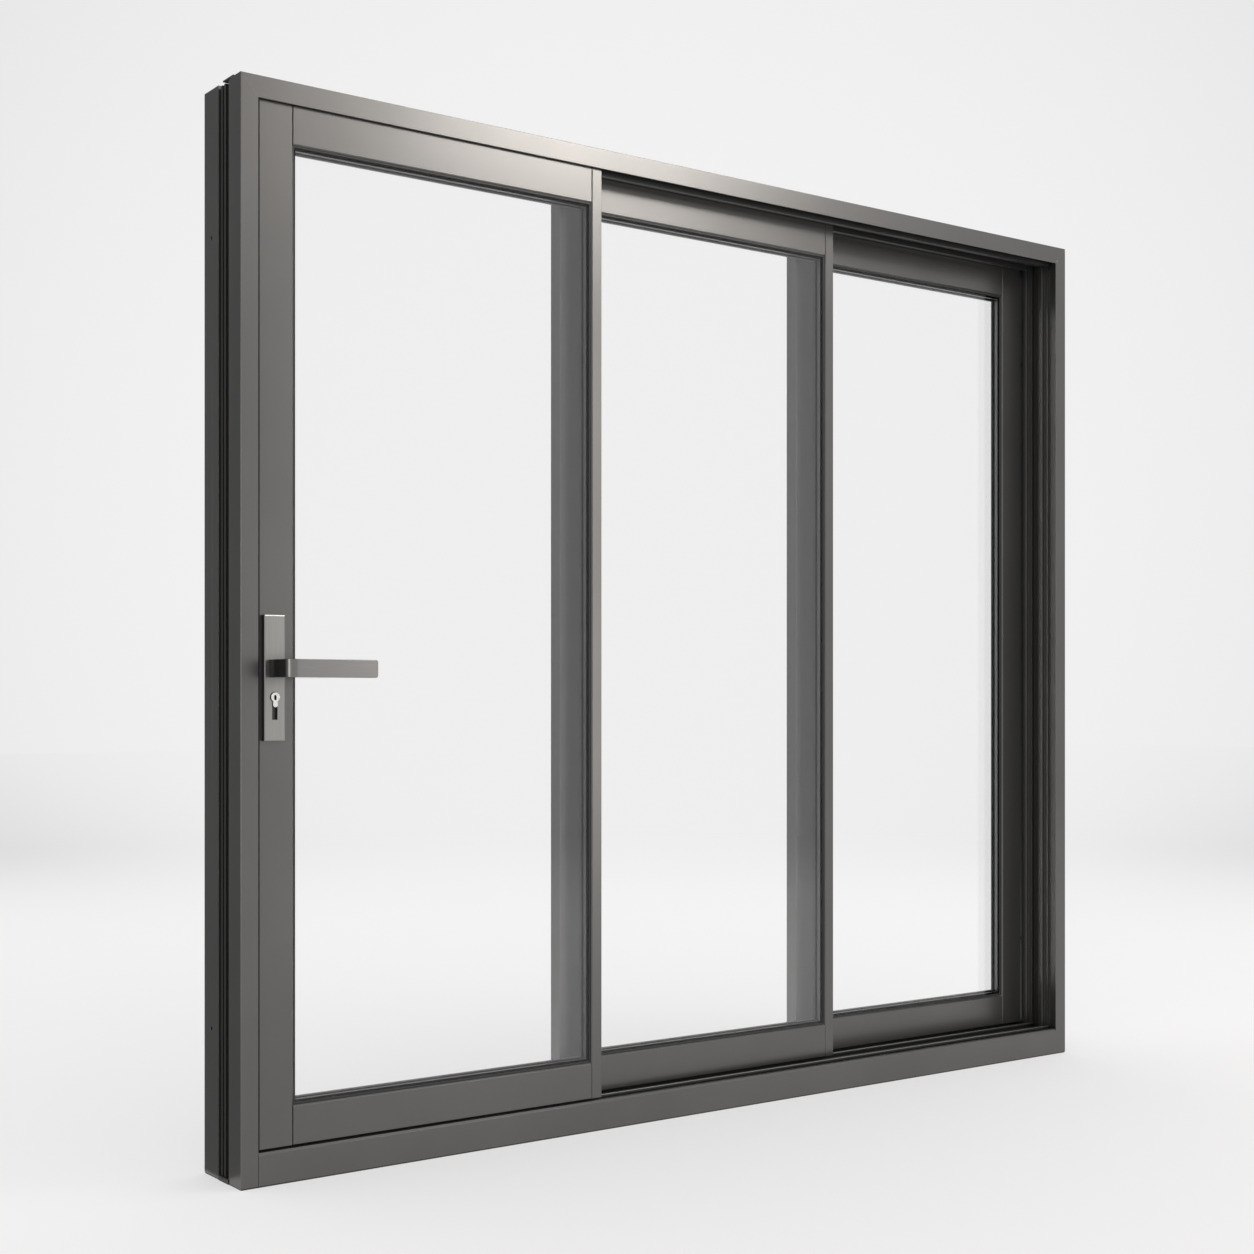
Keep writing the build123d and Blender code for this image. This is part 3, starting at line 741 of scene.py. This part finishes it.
def makePileSeals(look=pileSeal):
    low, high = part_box("head_guides")
    left, right = low.x + look["endGap"] * mm, high.x - look["endGap"] * mm
    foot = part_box("head_front")[0].z + look["aboveEdge"] * mm
    top = foot + look["height"] * mm
    material = blackPlastic("wovenPile", blackParts["sealingFoam"] | look["pile"])
    for name, sash in (("middleTrackSeal", "middle_sash"), ("rearTrackSeal", "rear_sash")):
        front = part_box(sash + "_top_rail")[0].y - look["sashGap"] * mm
        piece = startBlock((left, front, foot), (right, front + look["strip"] * mm, top))
        pick(piece, "FACE", lambda face: face.normal.y > 0.9)
        bpy.ops.mesh.inset(thickness=look["stripRim"] * mm)
        pileLength = (look["reach"] - look["strip"]) * mm
        bpy.ops.mesh.extrude_region_move(TRANSFORM_OT_translate={"value": (0, pileLength, 0)})
        bpy.ops.transform.resize(value=(1, 1, look["pileTip"] / look["height"]))
        finishPiece(piece, name, "frame", material, look["edgeRound"])
    print("pile seals made")


makePileSeals()

# Foot strips: black rubber in the gap under the frame's front and rear edges, put there as
# painted shade for the dark line of shadow
footShadeStrip = {
    "setBack": 1.2,
    "width": 4,
    "gap": 3,
    "clearance": 0.15,
    "endGap": 0.5,
    "edgeRound": 0.6,
}


def makeFootShadeStrips(look=footShadeStrip):
    outer, width = look["setBack"] * mm, look["width"] * mm
    low, top = look["clearance"] * mm, (look["gap"] - look["clearance"]) * mm
    left, right = cadBox[0][0] + outer, cadBox[1][0] - outer
    for side, shell in (("front", "jamb_left_front"), ("rear", "jamb_left_rear")):
        shellLow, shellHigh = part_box(shell)
        outside, inside, inwards = shellLow.y, shellHigh.y, 1
        if side == "rear":
            outside, inside, inwards = shellHigh.y, shellLow.y, -1
        ys = sorted((outside + inwards * outer, outside + inwards * (outer + width)))
        piece = startBlock((left, ys[0], low), (right, ys[1], top))
        # an arm back along the foot of each jamb
        ys = sorted((outside + inwards * outer * 2, inside - inwards * look["endGap"] * mm))
        for xs in ((left, left + width), (right - width, right)):
            combine(piece, startBlock((xs[0], ys[0], low), (xs[1], ys[1], top)), "UNION")
        # painted shade: black rubber in the shadow gap
        material = bpy.data.materials["glazingRubber"]
        finishPiece(piece, side + "FootShadeStrip", "frame", material, look["edgeRound"])
    print("foot seals made")


makeFootShadeStrips()

# Studio: pale floor, pale surroundings and soft lamps
studio = {
    "backdrop": "#f3f2f2",
    "backdropEdge": "#dbdbdb",
    "glowTowards": (0.59, 0.80, 0.10),
    "glowReach": 34,         # degrees from the middle of the glow to its darkest edge
    "worldLight": 0.96,
    "floor": "#f7f6f6",
    "floorRoughness": 0.9,
    "floorSize": 60,
    "floorFill": 0.5,        # share of the backdrop's own colour in the floor beside the door
    "floorNear": 3.5,        # metres from the door where the floor starts to fade out
    "floorFar": 9.0,
}
# Two soft lamps at the right of the camera, a high one and a weaker one under it for the lower
# half. One at the left draws fine bright lines along the upright edges, and one lights the
# floor alone. Sizes in metres, turns in degrees
softboxes = {
    "highSoftbox": {
        "place": (2.12, -3.5, 4.63), "size": (1.45, 2.53), "strength": 17.0, "turn": (90, 0),
    },
    "lowSoftbox": {
        "place": (1.67, -3.5, 1.5), "size": (1.03, 2.62), "strength": 3.3, "turn": (90, 0),
    },
    "edgeSoftbox": {
        "place": (-5.0, -1.2, 1.1), "size": (1.2, 3.0), "strength": 3.0, "turn": (90, -90),
    },
    "floorSoftbox": {
        "place": (3.0, -3.2, 3.4), "size": (2.2, 2.2), "strength": 2.0, "turn": (45, 40),
    },
}
softboxColour = "#fffaf4"


def seenDirectly(tree):
    # 1 for rays that look at the surroundings, straight or by a mirror or through glass
    seen = addNode(tree, "LightPath").outputs
    mirrored = {0: seen["Is Camera Ray"], 1: seen["Is Glossy Ray"]}
    first = addNode(tree, "Math", mirrored, operation="MAXIMUM").outputs[0]
    through = {0: first, 1: seen["Is Transmission Ray"]}
    return addNode(tree, "Math", through, operation="MAXIMUM").outputs[0]


def backdropColour(tree, direction, look):
    # brightest towards one side of the room and softly darker away from it
    middle = Vector(look["glowTowards"]).normalized()
    outwards = addNode(tree, "VectorMath", {0: direction}, operation="NORMALIZE").outputs[0]
    towards = addNode(tree, "VectorMath", {0: outwards, 1: middle}, operation="DOT_PRODUCT")
    edge = math.cos(math.radians(look["glowReach"]))
    reach = {"Value": towards.outputs["Value"], "From Min": edge, "From Max": 1.0}
    glow = addNode(tree, "MapRange", reach, interpolation_type="SMOOTHSTEP").outputs[0]
    colours = {0: glow, 6: hexColour(look["backdropEdge"]), 7: hexColour(look["backdrop"])}
    return addNode(tree, "Mix", colours, data_type="RGBA").outputs[2]


def setWorld(look):
    world = bpy.data.worlds.new("studioWorld")
    bpy.context.scene.world = world
    world.use_nodes = True
    tree = world.node_tree
    tree.nodes.clear()
    output = addNode(tree, "OutputWorld")
    direction = addNode(tree, "TexCoord").outputs["Generated"]
    light = addNode(tree, "Background", {"Color": (1, 1, 1, 1), "Strength": look["worldLight"]})
    colour = backdropColour(tree, direction, look)
    shown = addNode(tree, "Background", {"Color": colour, "Strength": 1})
    either = {0: seenDirectly(tree), 1: light.outputs[0], 2: shown.outputs[0]}
    mix = addNode(tree, "MixShader", either)
    tree.links.new(mix.outputs[0], output.inputs["Surface"])


def addFloor(look):
    bpy.ops.mesh.primitive_plane_add(size=look["floorSize"])
    floor = bpy.context.object
    floor.name = "studioFloor"
    material, tree, shader = newMaterial("studioFloor")
    shader.inputs["Base Color"].default_value = hexColour(look["floor"])
    shader.inputs["Roughness"].default_value = look["floorRoughness"]
    shader.inputs["Specular IOR Level"].default_value = 0
    place = addNode(tree, "TexCoord").outputs["Object"]
    distance = addNode(tree, "VectorMath", {0: place}, operation="LENGTH").outputs["Value"]
    fading = {"Value": distance, "From Min": look["floorNear"], "From Max": look["floorFar"]}
    fade = addNode(tree, "MapRange", fading, interpolation_type="SMOOTHSTEP").outputs[0]
    paint = {0: fade, 6: hexColour(look["backdrop"]), 7: backdropColour(tree, place, look)}
    colour = addNode(tree, "Mix", paint, data_type="RGBA").outputs[2]
    shown = addNode(tree, "Emission", {"Color": colour, "Strength": 1})
    filled = addNode(tree, "MapRange", {"Value": fade, "To Min": look["floorFill"]}).outputs[0]
    share = addNode(tree, "Math", {0: filled, 1: seenDirectly(tree)}, operation="MULTIPLY")
    either = {0: share.outputs[0], 1: shader.outputs[0], 2: shown.outputs[0]}
    mix = addNode(tree, "MixShader", either)
    tree.links.new(mix.outputs[0], tree.nodes["Material Output"].inputs["Surface"])
    floor.data.materials.append(material)
    return floor


def addSoftbox(name, look, lit):
    lamp = bpy.data.lights.new(name, "AREA")
    lamp.shape = "RECTANGLE"
    lamp.size, lamp.size_y = look["size"]
    # strength is how bright the lamp's face looks in a mirror, where 1 is white
    lamp.energy = look["strength"] * lamp.size * lamp.size_y * math.pi
    lamp.color = hexColour(softboxColour)[:3]
    holder = bpy.data.objects.new(name, lamp)
    holder.location = look["place"]
    tilt, turn = look["turn"]
    holder.rotation_euler = (math.radians(tilt), 0, math.radians(turn))
    holder.visible_camera = False
    holder.light_linking.receiver_collection = lit
    bpy.context.scene.collection.objects.link(holder)


def lightGroup(name, members, state):
    # what a lamp lights alone, or what it leaves out
    group = bpy.data.collections.new(name)
    for member in members:
        group.objects.link(member)
    for item in group.collection_objects:
        item.light_linking.link_state = state
    return group


# Dark cards to the left of and behind the door, seen only by mirrors: they give the end faces
# their shade
flagCards = {
    "standingCard": ((-4.6, 0.4, 0.01), (-1.9, 4.6, 0.01), (-4.6, 0.4, 4.0), (-1.9, 4.6, 4.0)),
    "lyingCard": ((-4.6, 0, 0.004), (-1.22, 0, 0.004), (-4.6, 4.6, 0.004), (-1.22, 4.6, 0.004)),
}
flagColour = "#7e7e7e"


def addFlagCard(name, corners):
    bpy.ops.mesh.primitive_plane_add(size=1)
    card = bpy.context.object
    card.name = name
    for vertex, corner in zip(card.data.vertices, corners):
        vertex.co = corner
    material, tree, shader = newMaterial(name)
    shown = addNode(tree, "Emission", {"Color": hexColour(flagColour), "Strength": 1})
    tree.links.new(shown.outputs[0], tree.nodes["Material Output"].inputs["Surface"])
    card.data.materials.append(material)
    card.visible_camera = False
    card.visible_diffuse = False
    card.visible_transmission = False
    card.visible_shadow = False


leaveEditing()
setWorld(studio)
floor = addFloor(studio)
# the lamps leave no glare on the panes, as with a polarising filter
panes = [nodes[name] for name in named("_glass")]
doorAlone = lightGroup("doorAlone", [floor] + panes, "EXCLUDE")
floorAlone = lightGroup("floorAlone", [floor], "INCLUDE")
for name, look in softboxes.items():
    addSoftbox(name, look, floorAlone if name == "floorSoftbox" else doorAlone)
for name, corners in flagCards.items():
    addFlagCard(name, corners)
print("studio set")
